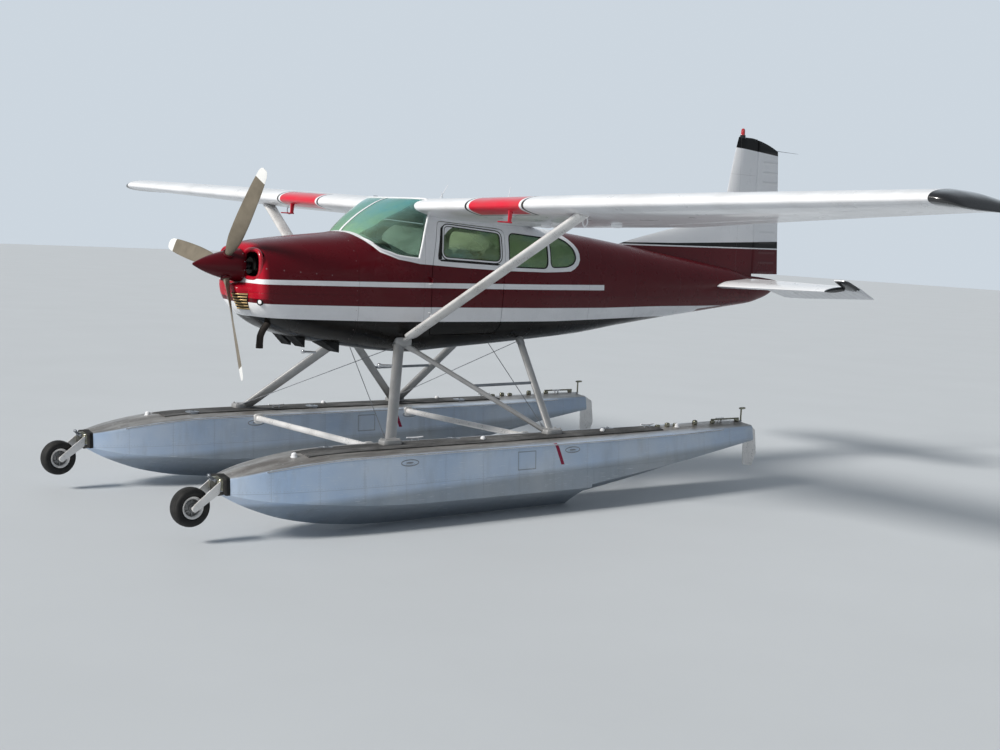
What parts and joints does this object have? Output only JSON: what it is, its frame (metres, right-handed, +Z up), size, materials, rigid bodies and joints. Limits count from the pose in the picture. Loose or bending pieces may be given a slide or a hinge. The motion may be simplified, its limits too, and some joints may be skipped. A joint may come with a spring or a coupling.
{
  "type": "floatplane",
  "caption": "High-wing single-engine floatplane on two amphibious floats, with strut-braced wings, hinged doors, control surfaces, a turning propeller and bow wheels.",
  "frame": {"origin": "on the floor under the middle of the bounding box", "axes": "+X towards the nose, +Y to the port wing tip, +Z up"},
  "size_m": [8.65, 12.24, 3.9223],
  "materials": {
    "paint_maroon": "gloss maroon enamel",
    "paint_white": "gloss white enamel",
    "paint_black": "gloss black fairing",
    "bare_aluminium": "brushed silver",
    "float_aluminium": "satin silver",
    "engine_grey": "matt grey casting",
    "blade_grey": "satin grey",
    "steel": "satin steel",
    "clear_acrylic": "clear, faint green tint",
    "tan_fabric": "tan woven cloth",
    "panel_black": "matt black",
    "tyre_rubber": "black rubber"
  },
  "bodies": {
    "airframe": {"cowl": "paint_maroon", "engine_block": "engine_grey", "exhaust": "steel", "cabin": "paint_maroon", "tailcone": "paint_maroon", "fin": "paint_white", "beacon": "paint_maroon", "stabiliser": "paint_white", "windscreen": "clear_acrylic", "instrument_panel": "panel_black", "seat_front_left": "tan_fabric", "seat_front_right": "tan_fabric", "seat_rear": "tan_fabric", "window_side_left": "clear_acrylic", "window_rear_left": "clear_acrylic", "wing_left": "paint_white", "wing_tip_left": "paint_black", "wing_strut_left": "bare_aluminium", "float_struts_left": "bare_aluminium", "float_left": "float_aluminium", "bow_fork_left": "steel", "water_rudder_post_left": "steel", "window_side_right": "clear_acrylic", "window_rear_right": "clear_acrylic", "wing_right": "paint_white", "wing_tip_right": "paint_black", "wing_strut_right": "bare_aluminium", "float_struts_right": "bare_aluminium", "float_right": "float_aluminium", "bow_fork_right": "steel", "water_rudder_post_right": "steel", "spreader_front": "bare_aluminium", "spreader_rear": "bare_aluminium"},
    "propeller": {"spinner": "paint_maroon", "propeller_hub": "steel", "propeller_blade_1": "blade_grey", "propeller_blade_2": "blade_grey", "propeller_blade_3": "blade_grey"},
    "rudder": {"rudder": "paint_white"},
    "elevator": {"elevator": "paint_white"},
    "door_left": {"door_left": "paint_maroon", "window_door_left": "clear_acrylic"},
    "flap_left": {"flap_left": "paint_white"},
    "aileron_left": {"aileron_left": "paint_white"},
    "nose_wheel_left": {"nose_tyre_left": "tyre_rubber", "nose_rim_left": "bare_aluminium"},
    "water_rudder_left": {"water_rudder_left": "bare_aluminium"},
    "door_right": {"door_right": "paint_maroon", "window_door_right": "clear_acrylic"},
    "flap_right": {"flap_right": "paint_white"},
    "aileron_right": {"aileron_right": "paint_white"},
    "nose_wheel_right": {"nose_tyre_right": "tyre_rubber", "nose_rim_right": "bare_aluminium"},
    "water_rudder_right": {"water_rudder_right": "bare_aluminium"}
  },
  "joints": [
    {"name": "propeller_spin", "type": "hinge", "parent": "airframe", "child": "propeller", "pos_m": [3.22, 0, 2.169], "axis": [1, 0, 0], "continuous": true},
    {"name": "rudder_turn", "type": "hinge", "parent": "airframe", "child": "rudder", "pos_m": [-3.845, 0, 2.887], "axis": [0, 0, 1], "range_deg": [-24, 24]},
    {"name": "elevator_turn", "type": "hinge", "parent": "airframe", "child": "elevator", "pos_m": [-3.735, 0, 2.139], "axis": [0, 1, 0], "range_deg": [0, 45]},
    {"name": "door_left_open", "type": "hinge", "parent": "airframe", "child": "door_left", "pos_m": [1.308, 0.549, 2.087], "axis": [0, 0, -1], "range_deg": [0, 75]},
    {"name": "door_right_open", "type": "hinge", "parent": "airframe", "child": "door_right", "pos_m": [1.308, -0.549, 2.087], "axis": [0, 0, 1], "range_deg": [0, 75]},
    {"name": "flap_left_lower", "type": "hinge", "parent": "airframe", "child": "flap_left", "pos_m": [0.32683, 0.6, 2.70716], "axis": [0, -0.9995, -0.0302], "range_deg": [0, 38]},
    {"name": "flap_right_lower", "type": "hinge", "parent": "airframe", "child": "flap_right", "pos_m": [0.32683, -0.6, 2.70716], "axis": [0, -0.9995, 0.0302], "range_deg": [0, 38]},
    {"name": "aileron_left_turn", "type": "hinge", "parent": "airframe", "child": "aileron_left", "pos_m": [0.26719, 2.6, 2.76178], "axis": [0.0828, 0.9953, 0.0502], "range_deg": [-18, 18]},
    {"name": "aileron_right_turn", "type": "hinge", "parent": "airframe", "child": "aileron_right", "pos_m": [0.26719, -2.6, 2.76178], "axis": [-0.0828, 0.9953, -0.0502], "range_deg": [-18, 18]},
    {"name": "nose_wheel_left_spin", "type": "hinge", "parent": "airframe", "child": "nose_wheel_left", "pos_m": [4.165, 1.297, 0.297], "axis": [0, 1, 0], "continuous": true},
    {"name": "nose_wheel_right_spin", "type": "hinge", "parent": "airframe", "child": "nose_wheel_right", "pos_m": [4.165, -1.297, 0.297], "axis": [0, 1, 0], "continuous": true},
    {"name": "water_rudder_left_turn", "type": "hinge", "parent": "airframe", "child": "water_rudder_left", "pos_m": [-2.335, 1.297, 0.627], "axis": [0, 0, 1], "range_deg": [-30, 30]},
    {"name": "water_rudder_right_turn", "type": "hinge", "parent": "airframe", "child": "water_rudder_right", "pos_m": [-2.335, -1.297, 0.627], "axis": [0, 0, 1], "range_deg": [-30, 30]}
  ],
  "couplings": [
    {"joint": "aileron_right_turn", "follows": "aileron_left_turn", "ratio": -1},
    {"joint": "flap_right_lower", "follows": "flap_left_lower", "ratio": 1},
    {"joint": "water_rudder_right_turn", "follows": "water_rudder_left_turn", "ratio": 1}
  ]
}
